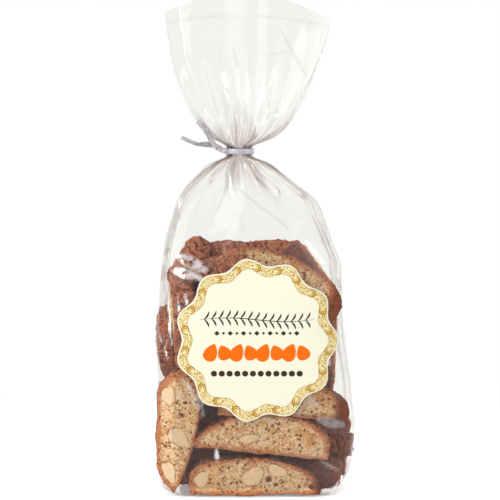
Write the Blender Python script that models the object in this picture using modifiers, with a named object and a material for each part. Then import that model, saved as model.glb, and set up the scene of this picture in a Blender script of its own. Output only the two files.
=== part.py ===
"""Clear block-bottom bag of almond biscuits, closed with a flat twist tie, with a round scalloped label.

Three pieces: the filled bag as one closed solid with its gathered neck and its fanned film top, the
label on its front, and the tie. Metres, +Z up, the front faces -Y, and the origin is the centre of the
flat base.
"""
from collections import namedtuple
from math import cos, hypot, pi, radians, sin

import bmesh
import bpy
import numpy as np
from mathutils import Vector

CLEARANCE = 0.0003          # gap between pieces that touch
LABEL_GAP = 0.0004          # the same behind the label, whose facets cut the corner a little

# The bag's outline from the base to the film's top edge. Left and right are the two side edges, depth is
# the half depth, square is how boxy the section is (2 is an ellipse), pleat is the depth of the gathers
# and rise is how much higher the middle of the ring is than its sides.
Section = namedtuple("Section", "height left right depth square pleat rise")
SECTIONS = (
    Section(0.0000, -0.0440, 0.0430, 0.0245, 6.0, 0.0000, 0.000),
    Section(0.0035, -0.0500, 0.0452, 0.0276, 6.0, 0.0000, 0.000),
    Section(0.0090, -0.0525, 0.0485, 0.0292, 6.0, 0.0000, 0.000),
    Section(0.0180, -0.0529, 0.0517, 0.0298, 6.0, 0.0000, 0.000),
    Section(0.0350, -0.0530, 0.0530, 0.0300, 6.0, 0.0000, 0.000),
    Section(0.0600, -0.0530, 0.0510, 0.0300, 5.6, 0.0000, 0.000),
    Section(0.0820, -0.0539, 0.0480, 0.0298, 5.2, 0.0000, 0.000),
    Section(0.1040, -0.0522, 0.0463, 0.0288, 4.8, 0.0000, 0.000),
    Section(0.1210, -0.0505, 0.0452, 0.0272, 4.2, 0.0000, 0.000),
    Section(0.1340, -0.0490, 0.0405, 0.0250, 3.6, 0.0000, 0.000),
    Section(0.1460, -0.0450, 0.0350, 0.0218, 3.0, 0.0016, 0.000),
    Section(0.1580, -0.0405, 0.0285, 0.0180, 2.5, 0.0022, 0.000),
    Section(0.1700, -0.0290, 0.0120, 0.0125, 2.1, 0.0022, 0.000),
    Section(0.1775, -0.0195, 0.0010, 0.0078, 2.0, 0.0010, 0.000),
    Section(0.1805, -0.0159, -0.0019, 0.0058, 2.0, 0.0000, 0.000),
    Section(0.1845, -0.0159, -0.0019, 0.0058, 2.0, 0.0000, 0.000),
    Section(0.1880, -0.0185, 0.0020, 0.0066, 2.0, 0.0008, 0.000),
    Section(0.1950, -0.0245, 0.0125, 0.0078, 2.0, 0.0016, 0.001),
    Section(0.2070, -0.0355, 0.0222, 0.0076, 2.1, 0.0018, 0.004),
    Section(0.2220, -0.0432, 0.0303, 0.0066, 2.2, 0.0018, 0.007),
    Section(0.2390, -0.0474, 0.0364, 0.0056, 2.3, 0.0018, 0.010),
    Section(0.2550, -0.0497, 0.0407, 0.0046, 2.4, 0.0018, 0.012),
)
RINGS_PER_SECTION = 2       # rings from one section to the next
RING_POINTS = 72            # points round each ring
SHOULDER_PLEATS = 9         # gathers round the bag below and above the tie
FAN_FOLDS = 2.5             # waves across the flat film top
FAN_WAVE = 0.0034           # how far those waves swing forwards and back
FAN_START = 0.188           # height at which the film starts to fan out
FAN_FLAT = 0.235            # height from which the fan has its full waves

# Scalloped label
LABEL_CENTRE_X = 0.0003
LABEL_CENTRE_Z = 0.0835
LABEL_RADIUS = 0.0413       # mean radius
LABEL_SCALLOP = 0.0020      # height of a lobe above the mean radius
LABEL_LOBES = 11
LABEL_FIRST_LOBE = radians(98)
LABEL_THICKNESS = 0.0004
LABEL_RINGS = 9             # rings of points from the centre to the edge
LABEL_POINTS_PER_LOBE = 8

# Flat twist tie
TIE_WIDTH = 0.0030
TIE_THICKNESS = 0.0006
TIE_HEIGHT = 0.1825                             # middle of the band round the neck
TIE_BAND_POINTS = 40
TWIST_START = Vector((-0.0182, 0.0, 0.1830))    # where the two strands meet beside the neck
TWIST_END = Vector((-0.0226, 0.0, 0.1858))      # where they part again
TWIST_RADIUS = 0.0009                           # each strand's distance from the twist's axis
TWIST_TURNS = 1.0
TWIST_POINTS = 16
UPPER_TAIL = (Vector((-0.0246, -0.0014, 0.1900)), Vector((-0.0274, -0.0022, 0.1946)),
              Vector((-0.0312, -0.0030, 0.1986)))
LOWER_TAIL = (Vector((-0.0276, -0.0024, 0.1862)), Vector((-0.0316, -0.0034, 0.1864)),
              Vector((-0.0354, -0.0042, 0.1879)), Vector((-0.0398, -0.0048, 0.1899)))
TAIL_STEPS = 5              # points between two given points of a tail


def clear_scene():
    """Start from an empty scene."""
    for item in list(bpy.data.objects):
        bpy.data.objects.remove(item, do_unlink=True)


def smooth_step(low, high, value):
    """0 below low, 1 above high, smooth between."""
    t = min(max((value - low) / (high - low), 0.0), 1.0)
    return t * t * (3.0 - 2.0 * t)


def monotone_slopes(x, y):
    """Slopes for a cubic through the points that never overshoots them."""
    steps = np.diff(x)
    rises = np.diff(y) / steps
    slopes = np.zeros(len(x))
    slopes[0] = rises[0]
    slopes[-1] = rises[-1]
    for i in range(1, len(x) - 1):
        if rises[i - 1] * rises[i] > 0.0:
            first = 2.0 * steps[i] + steps[i - 1]
            second = steps[i] + 2.0 * steps[i - 1]
            slopes[i] = (first + second) / (first / rises[i - 1] + second / rises[i])
    return slopes


HEIGHTS = np.array([section.height for section in SECTIONS])
VALUES = np.array(SECTIONS)
SLOPES = np.array([monotone_slopes(HEIGHTS, column) for column in VALUES.T]).T


def section_at(height):
    """The bag's section at any height, on a smooth curve through the given sections."""
    i = int(np.clip(np.searchsorted(HEIGHTS, height, side="right") - 1, 0, len(HEIGHTS) - 2))
    step = HEIGHTS[i + 1] - HEIGHTS[i]
    t = (height - HEIGHTS[i]) / step
    values = ((1 + 2 * t) * (1 - t) ** 2 * VALUES[i] + t * (1 - t) ** 2 * step * SLOPES[i]
              + t * t * (3 - 2 * t) * VALUES[i + 1] + t * t * (t - 1) * step * SLOPES[i + 1])
    return Section(*values)


def bag_ring(height):
    """Points of the bag's ring at one height, counter-clockwise seen from above."""
    section = section_at(height)
    centre = (section.left + section.right) / 2
    half = (section.right - section.left) / 2
    fan = smooth_step(FAN_START, FAN_FLAT, height)
    points = []
    for i in range(RING_POINTS):
        angle = 2 * pi * i / RING_POINTS
        c, s = cos(angle), sin(angle)
        power = 2.0 / section.square
        x = half * abs(c) ** power * (1 if c >= 0 else -1)
        y = section.depth * abs(s) ** power * (1 if s >= 0 else -1)
        pleat = section.pleat * cos(SHOULDER_PLEATS * angle)
        reach = max(hypot(x, y), 1e-6)
        x *= 1 + pleat / reach * (1 - fan)
        y *= 1 + pleat / reach * (1 - fan)
        across = x / half
        y += fan * FAN_WAVE * sin(2 * pi * FAN_FOLDS * across / 2)
        z = height + section.rise * (1 - across * across)
        points.append((centre + x, y, z))
    return points


def bag_front(x, z):
    """Depth of the bag's front face at a point below the shoulder."""
    section = section_at(z)
    centre = (section.left + section.right) / 2
    half = (section.right - section.left) / 2
    across = min(abs(x - centre) / half, 0.995)
    return -section.depth * (1 - across ** section.square) ** (1 / section.square)


def paint(item, name, colour, roughness, metallic=0.0):
    """Give a piece its own Principled material."""
    material = bpy.data.materials.new(name)
    material.use_nodes = True
    shader = material.node_tree.nodes["Principled BSDF"]
    shader.inputs["Base Color"].default_value = (*colour, 1.0)
    shader.inputs["Roughness"].default_value = roughness
    shader.inputs["Metallic"].default_value = metallic
    item.data.materials.append(material)


def loft(name, rings, collection):
    """A closed solid through rings that all have the same number of points."""
    mesh = bmesh.new()
    rows = [[mesh.verts.new(point) for point in ring] for ring in rings]
    count = len(rows[0])
    for low, high in zip(rows, rows[1:]):
        for i in range(count):
            j = (i + 1) % count
            mesh.faces.new((low[i], low[j], high[j], high[i]))
    mesh.faces.new(list(reversed(rows[0])))
    mesh.faces.new(rows[-1])
    bmesh.ops.recalc_face_normals(mesh, faces=mesh.faces)
    data = bpy.data.meshes.new(name)
    mesh.to_mesh(data)
    mesh.free()
    item = bpy.data.objects.new(name, data)
    collection.objects.link(item)
    return item


def make_bag(collection):
    """The filled bag, from its flat base through the gathered neck to the top edge of the film."""
    heights = []
    for low, high in zip(HEIGHTS, HEIGHTS[1:]):
        heights += [low + (high - low) * k / RINGS_PER_SECTION for k in range(RINGS_PER_SECTION)]
    heights.append(HEIGHTS[-1])
    bag = loft("bag", [bag_ring(height) for height in heights], collection)
    bag.data.shade_smooth()
    bag.data.set_sharp_from_angle(angle=radians(50))
    paint(bag, "film_and_biscuits", (0.62, 0.45, 0.30), 0.25)
    return bag


def label_outline(angle):
    """Radius of the scalloped outline in one direction from the label's centre."""
    return LABEL_RADIUS + LABEL_SCALLOP * cos(LABEL_LOBES * (angle - LABEL_FIRST_LOBE))


def make_label(collection):
    """A scalloped disc that follows the bag's front face, thickened away from it."""
    count = LABEL_LOBES * LABEL_POINTS_PER_LOBE
    mesh = bmesh.new()

    def point(angle, share):
        radius = label_outline(angle) * share
        x = LABEL_CENTRE_X + radius * cos(angle)
        z = LABEL_CENTRE_Z + radius * sin(angle)
        return mesh.verts.new((x, bag_front(x, z) - LABEL_GAP, z))

    centre = point(0.0, 0.0)
    rings = [[point(2 * pi * i / count, (k + 1) / LABEL_RINGS) for i in range(count)]
             for k in range(LABEL_RINGS)]
    for i in range(count):
        j = (i + 1) % count
        mesh.faces.new((centre, rings[0][i], rings[0][j]))
        for inner, outer in zip(rings, rings[1:]):
            mesh.faces.new((inner[i], outer[i], outer[j], inner[j]))
    bmesh.ops.recalc_face_normals(mesh, faces=mesh.faces)
    if mesh.faces[0].normal.y > 0:
        bmesh.ops.reverse_faces(mesh, faces=mesh.faces)
    data = bpy.data.meshes.new("label")
    mesh.to_mesh(data)
    mesh.free()
    label = bpy.data.objects.new("label", data)
    collection.objects.link(label)
    wall = label.modifiers.new("wall", "SOLIDIFY")
    wall.thickness = LABEL_THICKNESS
    wall.offset = 1.0
    label.data.shade_smooth()
    paint(label, "label_paper", (0.99, 0.96, 0.78), 0.3)
    return label


def curve_through(points, steps):
    """Points on a smooth curve through the given ones, the last one included."""
    padded = [points[0] * 2 - points[1], *points, points[-1] * 2 - points[-2]]
    result = []
    for a, b, c, d in zip(padded, padded[1:], padded[2:], padded[3:]):
        for k in range(steps):
            t = k / steps
            result.append(0.5 * (2 * b + (c - a) * t + (2 * a - 5 * b + 4 * c - d) * t ** 2
                                 + (3 * b - a - 3 * c + d) * t ** 3))
    result.append(points[-1].copy())
    return result


def tie_band():
    """Points and face directions of the ribbon round the neck, from the twist and back to it."""
    neck = section_at(TIE_HEIGHT)
    centre = Vector(((neck.left + neck.right) / 2, 0.0, TIE_HEIGHT))
    half = (neck.right - neck.left) / 2 + CLEARANCE + TIE_THICKNESS / 2
    depth = neck.depth + CLEARANCE + TIE_THICKNESS / 2
    opening = radians(26)       # share of the band, each side of the twist, that leaves the neck
    points, faces = [], []
    for i in range(TIE_BAND_POINTS):
        angle = pi + opening + (2 * pi - 2 * opening) * i / (TIE_BAND_POINTS - 1)
        points.append(centre + Vector((half * cos(angle), depth * sin(angle), 0.0)))
        faces.append(Vector((cos(angle) / half, sin(angle) / depth, 0.0)).normalized())
    return points, faces


def twist_strand(side):
    """Points and face directions of one strand of the twist, from the neck outwards."""
    axis = (TWIST_END - TWIST_START).normalized()
    forward = Vector((0.0, -1.0, 0.0))
    up = axis.cross(forward)
    points, faces = [], []
    for i in range(TWIST_POINTS):
        share = i / (TWIST_POINTS - 1)
        angle = 2 * pi * TWIST_TURNS * share
        out = side * (cos(angle) * forward + sin(angle) * up)
        points.append(TWIST_START.lerp(TWIST_END, share) + out * TWIST_RADIUS)
        faces.append(out)
    return points, faces


def tail(end_of_twist, tail_points, last_face):
    """One free end of the ribbon, from the twist to its tip."""
    (start, face) = end_of_twist
    points = curve_through([start, *tail_points], TAIL_STEPS)[1:]
    faces = [face.lerp(last_face, smooth_step(0.0, 0.5, (i + 1) / len(points))).normalized()
             for i in range(len(points))]
    return points, faces


def make_tie(collection):
    """One ribbon: a tail, the twist, once round the neck, the twist again and the other tail."""
    band, band_faces = tie_band()
    front, front_faces = twist_strand(1)
    back, back_faces = twist_strand(-1)
    upper, upper_faces = tail((front[-1], front_faces[-1]), UPPER_TAIL, Vector((0.25, -1.0, 0.1)))
    lower, lower_faces = tail((back[-1], back_faces[-1]), LOWER_TAIL, Vector((0.1, 0.55, 0.9)))
    points = upper[::-1] + front[::-1] + band + back + lower
    faces = upper_faces[::-1] + front_faces[::-1] + band_faces + back_faces + lower_faces
    rings = []
    for i, (point, face) in enumerate(zip(points, faces)):
        along = (points[min(i + 1, len(points) - 1)] - points[max(i - 1, 0)]).normalized()
        across = along.cross(face).normalized() * TIE_WIDTH / 2
        normal = across.cross(along).normalized() * TIE_THICKNESS / 2
        rings.append([point - across - normal, point + across - normal,
                      point + across + normal, point - across + normal])
    tie = loft("twist_tie", rings, collection)
    paint(tie, "tie_silver", (0.60, 0.58, 0.62), 0.35, 0.2)
    return tie


def main():
    """Build the whole part."""
    clear_scene()
    collection = bpy.data.collections.new("biscuit_bag")
    bpy.context.scene.collection.children.link(collection)
    make_bag(collection)
    make_label(collection)
    make_tie(collection)


main()
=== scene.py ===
"""Clear bag of almond biscuits: film, biscuits, cut almonds, label with its print, tie and studio."""
from collections import namedtuple
from math import atan2, cos, hypot, pi, radians, sin

import bmesh
import bpy
import numpy as np
from mathutils import Euler, Matrix, Vector


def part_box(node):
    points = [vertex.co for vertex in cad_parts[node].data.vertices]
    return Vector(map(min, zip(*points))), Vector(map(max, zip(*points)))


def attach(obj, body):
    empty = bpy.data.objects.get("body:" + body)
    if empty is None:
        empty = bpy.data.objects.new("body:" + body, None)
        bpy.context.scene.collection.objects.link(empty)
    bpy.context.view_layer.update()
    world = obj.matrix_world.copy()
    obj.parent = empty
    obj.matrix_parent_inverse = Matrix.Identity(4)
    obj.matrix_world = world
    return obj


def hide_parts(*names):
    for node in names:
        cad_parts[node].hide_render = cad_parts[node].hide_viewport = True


bl_info = {
    "name": "Biscuit bag",
    "version": (1, 0, 0),
    "blender": (4, 5, 0),
    "location": "View3D > Sidebar > Biscuit bag",
    "description": "Models a clear bag of almond biscuits with its label and twist tie",
    "category": "Object",
}

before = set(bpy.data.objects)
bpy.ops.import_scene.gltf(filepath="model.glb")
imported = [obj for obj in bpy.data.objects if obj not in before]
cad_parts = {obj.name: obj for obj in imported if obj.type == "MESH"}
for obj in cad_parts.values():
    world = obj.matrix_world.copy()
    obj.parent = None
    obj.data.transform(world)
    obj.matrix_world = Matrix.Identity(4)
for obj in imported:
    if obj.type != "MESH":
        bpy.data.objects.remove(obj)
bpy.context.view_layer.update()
BAG_LOW, BAG_HIGH = (Vector(corner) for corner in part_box("bag"))
LABEL_LOW = Vector(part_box("label")[0])
MM = 0.001
SEED = 7
NECK = 182.5                # height of the tie, in millimetres
BAND_LEFT = -0.0165         # left end of the tie's band; the twist and the tails lie beyond it


# ------------------------------------------------------------------------------------------------- values

def srgb(red, green, blue):
    """A colour given as it looks on a screen, 0 to 255, as linear values with alpha."""
    def linear(value):
        share = value / 255
        return share / 12.92 if share <= 0.04045 else ((share + 0.055) / 1.055) ** 2.4
    return (linear(red), linear(green), linear(blue), 1.0)


def colour_property(name, description, red, green, blue):
    """A colour that the user can change."""
    return bpy.props.FloatVectorProperty(name=name, description=description, subtype="COLOR", size=4,
                                         min=0, max=1, default=srgb(red, green, blue))


def length_property(name, description, default):
    """A length that the user can change."""
    return bpy.props.FloatProperty(name=name, description=description, default=default, unit="LENGTH")


class BiscuitValues(bpy.types.PropertyGroup):
    """Sizes and colours of the biscuits."""
    pore_depth: length_property("Pore depth", "Depth of the pores in the cut faces", 0.75 * MM)
    crag_height: length_property("Crag height", "Height of the crust's crags", 2.2 * MM)
    lump_height: length_property("Lump height", "How uneven the whole shape is", 2.6 * MM)
    grain_height: length_property("Grain height", "Roughness of the cut faces", 0.9 * MM)
    pores: bpy.props.FloatProperty(name="Pores", description="Pores for each square millimetre of a cut face",
                                   default=0.42)
    crumb: colour_property("Crumb", "Cut crumb", 248, 202, 150)
    crumb_light: colour_property("Light crumb", "Palest grains of the crumb", 255, 242, 206)
    crumb_dark: colour_property("Dark crumb", "Darker grains of the crumb", 194, 134, 82)
    # pore is also the painted shade inside the pits; the crumb's fine specks share it
    pore: colour_property("Pore", "Inside the pores", 150, 98, 62)
    toast: colour_property("Toast", "Browned edge of the cut faces", 204, 122, 78)
    crust: colour_property("Crust", "Baked crust", 200, 120, 85)
    crust_dark: colour_property("Dark crust", "Darkest parts of the crust", 108, 56, 40)
    golden: colour_property("Golden crumb", "Warmer patches of the crumb", 232, 168, 88)
    # pale specks of the crust, and the painted highlight on its high spots
    crust_pale_and_highlight: colour_property("Pale crust", "Rubbed high spots of the crust", 230, 166, 126)
    underside: colour_property("Underside", "Smooth base of the loaf", 152, 112, 107)
    almond: colour_property("Almond", "Cut almond", 224, 198, 163)
    almond_skin: colour_property("Almond skin", "Thin skin round a cut almond", 168, 108, 62)


class FilmValues(bpy.types.PropertyGroup):
    """Sizes and finish of the clear film."""
    columns: bpy.props.IntProperty(name="Columns", description="Points round the film", default=340)
    rows: bpy.props.IntProperty(name="Rows", description="Rings from the base to the top", default=262)
    crease_height: length_property("Crease height", "Height of the film's soft creases", 1.3 * MM)
    clear: colour_property("Clear", "What one wall lets through", 249, 249, 247)
    fold: colour_property("Fold", "What a wall lets through where it turns away", 245, 243, 241)
    # crease is the painted shade drawn along the marked creases
    crease: colour_property("Crease", "What a wall lets through at a crease", 222, 219, 219)
    shine: colour_property("Shine", "Tint of the film's reflections", 238, 236, 235)
    layers: colour_property("Layers", "What a wall lets through in the densest gathers", 214, 205, 201)


class LabelValues(bpy.types.PropertyGroup):
    """Sizes and colours of the label."""
    radius: length_property("Radius", "Mean radius of the scalloped edge", 41.3 * MM)
    scallop: length_property("Scallop", "Height of a lobe above the mean radius", 2.0 * MM)
    lobes: bpy.props.IntProperty(name="Lobes", description="Lobes round the edge", default=11)
    margin: length_property("Margin", "Plain edge outside the lace", 0.9 * MM)
    lace: length_property("Lace", "Width of the lace border", 4.6 * MM)
    paper: colour_property("Paper", "Cream field", 232, 230, 208)
    lace_base: colour_property("Lace base", "Pale yellow under the lace", 236, 226, 176)
    gold: colour_property("Gold", "Gold-brown lace", 186, 138, 18)
    orange: colour_property("Orange", "Orange shapes", 236, 106, 4)
    brown: colour_property("Brown", "Dark brown shapes", 60, 42, 34)


class TieValues(bpy.types.PropertyGroup):
    """Colour of the tie."""
    silver: colour_property("Silver", "Silver-lilac plastic", 184, 179, 186)


class StageValues(bpy.types.PropertyGroup):
    """Camera, light and floor."""
    elevation: bpy.props.FloatProperty(name="Elevation", description="Height of the camera's view",
                                       subtype="ANGLE", default=radians(3.5))
    distance: length_property("Distance", "From the camera to the bag", 1.3)
    view_width: length_property("View width", "Width of the view at the bag's front", 0.2623)
    floor: colour_property("Floor", "Floor", 245, 245, 245)


GROUPS = {"biscuit_values": BiscuitValues, "film_values": FilmValues, "label_values": LabelValues,
          "tie_values": TieValues, "stage_values": StageValues}


# ---------------------------------------------------------------------------------------------- modelling

def deselect():
    """Leave object mode with nothing selected."""
    if bpy.context.mode != "OBJECT":
        bpy.ops.object.mode_set(mode="OBJECT")
    bpy.ops.object.select_all(action="DESELECT")


def choose(item):
    """Select one object alone and make it active."""
    deselect()
    item.select_set(True)
    bpy.context.view_layer.objects.active = item


def added(name):
    """The primitive that was just added, renamed."""
    item = bpy.context.object
    item.name = name
    item.data.name = name
    return item


def apply_place(item):
    """Put the object's place, turn and scale into its mesh."""
    choose(item)
    bpy.ops.object.transform_apply(location=True, rotation=True, scale=True)


def apply_modifier(item, name, kind, **values):
    """Add a modifier with these values and apply it."""
    choose(item)
    modifier = item.modifiers.new(name, kind)
    for key, value in values.items():
        setattr(modifier, key, value)
    bpy.ops.object.modifier_apply(modifier=modifier.name)


def joined(items, name):
    """Several objects joined into one."""
    deselect()
    for item in items:
        item.select_set(True)
    bpy.context.view_layer.objects.active = items[0]
    if len(items) > 1:
        bpy.ops.object.join()
    return added(name)


def ride(item, slot, *replaced):
    """Attach the piece to the root body and hide the parts it replaces; slot is not used."""
    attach(item, "root")
    if replaced:
        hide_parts(*replaced)


def coordinates(item):
    """The mesh's points as an array."""
    values = np.empty(len(item.data.vertices) * 3)
    item.data.vertices.foreach_get("co", values)
    return values.reshape(-1, 3)


def normals(item):
    """The mesh's point normals as an array."""
    values = np.empty(len(item.data.vertices) * 3)
    item.data.vertex_normals.foreach_get("vector", values)
    return values.reshape(-1, 3)


def set_coordinates(item, values):
    """Move the mesh's points."""
    item.data.vertices.foreach_set("co", values.ravel())
    item.data.update()


def store(item, name, values):
    """Keep a value for each point, for the material to read."""
    layer = item.data.attributes.new(name, "FLOAT", "POINT")
    layer.data.foreach_set("value", np.asarray(values, dtype=np.float32))


def weigh(item, name, values, levels=20):
    """A vertex group with these weights, in even steps."""
    group = item.vertex_groups.new(name=name)
    steps = np.rint(np.clip(values, 0, 1) * levels).astype(int)
    for level in range(1, levels + 1):
        chosen = np.nonzero(steps == level)[0].tolist()
        if chosen:
            group.add(chosen, level / levels, "REPLACE")
    return group.name


def step(low, high, values):
    """0 below low, 1 above high, smooth between."""
    share = np.clip((values - low) / (high - low), 0, 1)
    return share * share * (3 - 2 * share)


def noise_texture(name, kind, scale, **values):
    """A texture for a Displace modifier."""
    texture = bpy.data.textures.new(name, kind)
    texture.noise_scale = scale
    for key, value in values.items():
        setattr(texture, key, value)
    return texture


# ---------------------------------------------------------------------------------------------- materials

class Nodes:
    """Short names for building a material's or a group's nodes."""

    def __init__(self, tree):
        self.tree = tree

    def add(self, kind, **values):
        """A node with these settings."""
        node = self.tree.nodes.new(kind)
        for key, value in values.items():
            setattr(node, key, value)
        return node

    def link(self, source, target):
        """Join an output to an input."""
        self.tree.links.new(source, target)

    def put(self, node, **inputs):
        """Fill a node's inputs, each with a value or another node's output."""
        for key, value in inputs.items():
            socket = node.inputs[key.replace("_", " ")]
            if isinstance(value, bpy.types.NodeSocket):
                self.link(value, socket)
            else:
                socket.default_value = value
        return node

    def attribute(self, name):
        """A value kept on the mesh."""
        return self.add("ShaderNodeAttribute", attribute_name=name).outputs["Fac"]

    def place(self):
        """Object coordinates."""
        return self.add("ShaderNodeTexCoord").outputs["Object"]

    def math(self, operation, first, second=0.5):
        """One sum."""
        node = self.add("ShaderNodeMath", operation=operation)
        for socket, value in zip(node.inputs, (first, second)):
            if isinstance(value, bpy.types.NodeSocket):
                self.link(value, socket)
            else:
                socket.default_value = value
        return node.outputs[0]

    def mottle(self, scale, low, high, detail=3.0):
        """The shared speckle as a mask from 0 to 1."""
        node = self.add("ShaderNodeGroup", node_tree=mottle_group())
        self.put(node, Vector=self.place(), Scale=scale, Detail=detail, Low=low, High=high)
        return node.outputs["Mask"]

    def noise(self, scale, detail=4.0, roughness=0.55, vector=None):
        """A noise value."""
        node = self.add("ShaderNodeTexNoise")
        self.put(node, Scale=scale, Detail=detail, Roughness=roughness,
                 Vector=vector if vector is not None else self.place())
        return node.outputs["Fac"]

    def cells(self, scale):
        """Distance in a pattern of cells."""
        node = self.add("ShaderNodeTexVoronoi")
        self.put(node, Scale=scale, Vector=self.place())
        return node.outputs["Distance"]

    def between(self, value, low, high, to_low=0.0, to_high=1.0):
        """A value carried from one span to another, smoothly."""
        node = self.add("ShaderNodeMapRange", interpolation_type="SMOOTHSTEP")
        self.put(node, Value=value, From_Min=low, From_Max=high, To_Min=to_low, To_Max=to_high)
        return node.outputs["Result"]

    def mix(self, share, first, second):
        """A mix of two colours."""
        node = self.add("ShaderNodeMix", data_type="RGBA")
        for socket, value in ((node.inputs[0], share), (node.inputs[6], first), (node.inputs[7], second)):
            if isinstance(value, bpy.types.NodeSocket):
                self.link(value, socket)
            else:
                socket.default_value = value
        return node.outputs[2]

    def bump(self, height, distance, strength=1.0):
        """A normal from a height in metres."""
        node = self.add("ShaderNodeBump")
        self.put(node, Height=height, Distance=distance, Strength=strength)
        return node.outputs["Normal"]


def mottle_group():
    """Fine speckle shared by the materials: noise carried from a low and a high level to 0 and 1."""
    if "mottle" in bpy.data.node_groups:
        return bpy.data.node_groups["mottle"]
    group = bpy.data.node_groups.new("mottle", "ShaderNodeTree")
    group.interface.new_socket(name="Vector", in_out="INPUT", socket_type="NodeSocketVector")
    for name in ("Scale", "Detail", "Low", "High"):
        group.interface.new_socket(name=name, in_out="INPUT", socket_type="NodeSocketFloat")
    group.interface.new_socket(name="Mask", in_out="OUTPUT", socket_type="NodeSocketFloat")
    n = Nodes(group)
    given = n.add("NodeGroupInput").outputs
    n.add("NodeGroupOutput")
    noise = n.noise(given["Scale"], given["Detail"], 0.6, given["Vector"])
    mask = n.between(noise, given["Low"], given["High"])
    n.link(mask, group.nodes["Group Output"].inputs["Mask"])
    return group


def new_material(name):
    """An empty material with its Principled shader."""
    material = bpy.data.materials.new(name)
    material.use_nodes = True
    nodes = Nodes(material.node_tree)
    return material, nodes, material.node_tree.nodes["Principled BSDF"]


def biscuit_material(values):
    """Baked crumb on the cut faces, browner towards their edges, and cracked crust round them, with painted
    shade in pores, cracks and hollows and a painted highlight on the crust's high spots.
    """
    material, n, shader = new_material("biscuit_bake")
    cut, pit, toast, relief = (n.attribute(name) for name in ("cut", "pit", "toast", "relief"))
    patch = n.noise(170, 3)
    grains = n.noise(820, 5, 0.78)
    crumb = n.mix(n.between(grains, 0.50, 0.62), values.crumb, values.crumb_light)
    crumb = n.mix(n.between(grains, 0.49, 0.38), crumb, values.crumb_dark)
    crumb = n.mix(n.math("MULTIPLY", n.mottle(130, 0.50, 0.64), 0.65), crumb, values.golden)
    crumb = n.mix(n.math("MULTIPLY", n.mottle(95, 0.52, 0.66, 5), 0.45), crumb, values.crumb_light)
    crumb = n.mix(n.math("MULTIPLY", n.mottle(230, 0.52, 0.68), 0.35), crumb, values.toast)
    ragged = n.math("ADD", toast, n.math("MULTIPLY", n.math("SUBTRACT", n.noise(430, 5, 0.7), 0.5), 1.5))
    crumb = n.mix(n.math("MULTIPLY", n.between(ragged, 0.10, 0.90), 0.85), crumb, values.toast)
    crumb = n.mix(n.math("MULTIPLY", n.between(ragged, 0.95, 1.4), 0.5), crumb, values.crust_dark)
    dots = 0.0
    for scale, share in ((480, 0.9), (900, 0.85)):
        sparse = n.math("SUBTRACT", n.math("MULTIPLY", patch, 0.6), n.math("MULTIPLY", toast, 0.07))
        speck = n.between(n.math("ADD", n.cells(scale), sparse), 0.54, 0.38)
        dots = n.math("MAXIMUM", n.math("MULTIPLY", speck, share), dots)
    crumb = n.mix(dots, crumb, values.pore)
    # painted shade: the pores and the grooves round the almonds are coloured darker, the deepest holes
    # darkest
    crumb = n.mix(n.between(pit, 0.18, 0.70), crumb, values.pore)
    crumb = n.mix(n.between(pit, 0.84, 1.0), crumb, values.crust_dark)
    crust = n.mix(n.math("MULTIPLY", n.mottle(330, 0.44, 0.62, 6), 0.8), values.crust, values.crust_dark)
    crust = n.mix(n.math("MULTIPLY", n.mottle(110, 0.48, 0.62), 0.5), crust, values.underside)
    crust = n.mix(n.math("MULTIPLY", n.mottle(900, 0.50, 0.64, 4), 0.6), crust, values.crust_pale_and_highlight)
    crust = n.mix(n.math("MULTIPLY", dots, 0.6), crust, values.crust_dark)
    # painted shade in the crust's hollows and cracks, painted highlight on its high spots
    crust = n.mix(n.math("MULTIPLY", n.between(relief, -0.3, -1.6), 0.8), crust, values.crust_dark)
    crust = n.mix(n.math("MULTIPLY", n.between(relief, 0.1, 1.4), 0.5), crust, values.crust_pale_and_highlight)
    crust = n.mix(n.math("MULTIPLY", n.between(pit, 0.2, 0.8), 0.9), crust, values.crust_dark)
    floor = n.mix(n.math("MULTIPLY", n.between(grains, 0.4, 0.6), 0.45), values.underside, values.crust_dark)
    floor = n.mix(n.math("MULTIPLY", n.mottle(150, 0.46, 0.64, 6), 0.5), floor, values.crust)
    floor = n.mix(n.math("MULTIPLY", dots, 0.5), floor, values.crust_dark)
    crust = n.mix(n.attribute("base"), crust, floor)
    colour = n.mix(n.between(cut, 0.35, 0.65), crust, crumb)
    # each biscuit's own tone and burnt end, with painted shade on the biscuits set back in the bag
    colour = n.mix(n.attribute("tone_and_shade"), colour, values.crust_dark)
    fine = n.math("ADD", grains, n.math("MULTIPLY", n.cells(900), 0.6))
    n.put(shader, Base_Color=colour, Roughness=0.80, Normal=n.bump(fine, 0.0009, 0.9))
    shader.inputs["Specular IOR Level"].default_value = 0.25
    shader.inputs["Subsurface Weight"].default_value = 0.05
    shader.inputs["Subsurface Radius"].default_value = (1.0, 0.5, 0.25)
    shader.inputs["Subsurface Scale"].default_value = 0.0010
    return material


def almond_material(values):
    """Cut almond, cream with faint grain, and here and there brown at its skin."""
    material, n, shader = new_material("almond_cut")
    skin = n.math("MULTIPLY", n.attribute("skin"), n.mottle(260, 0.36, 0.58))
    colour = n.mix(n.math("MULTIPLY", n.mottle(300, 0.42, 0.66, 5), 0.55), values.almond, values.crumb)
    colour = n.mix(n.math("MULTIPLY", n.mottle(1100, 0.52, 0.66), 0.35), colour, values.crumb_dark)
    colour = n.mix(n.math("MULTIPLY", n.between(skin, 0.35, 0.95), 0.85), colour, values.almond_skin)
    n.put(shader, Base_Color=colour, Roughness=0.5, Normal=n.bump(n.noise(700, 4), 0.0004, 0.8))
    shader.inputs["Specular IOR Level"].default_value = 0.35
    shader.inputs["Subsurface Weight"].default_value = 0.1
    shader.inputs["Subsurface Scale"].default_value = 0.0015
    return material


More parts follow.
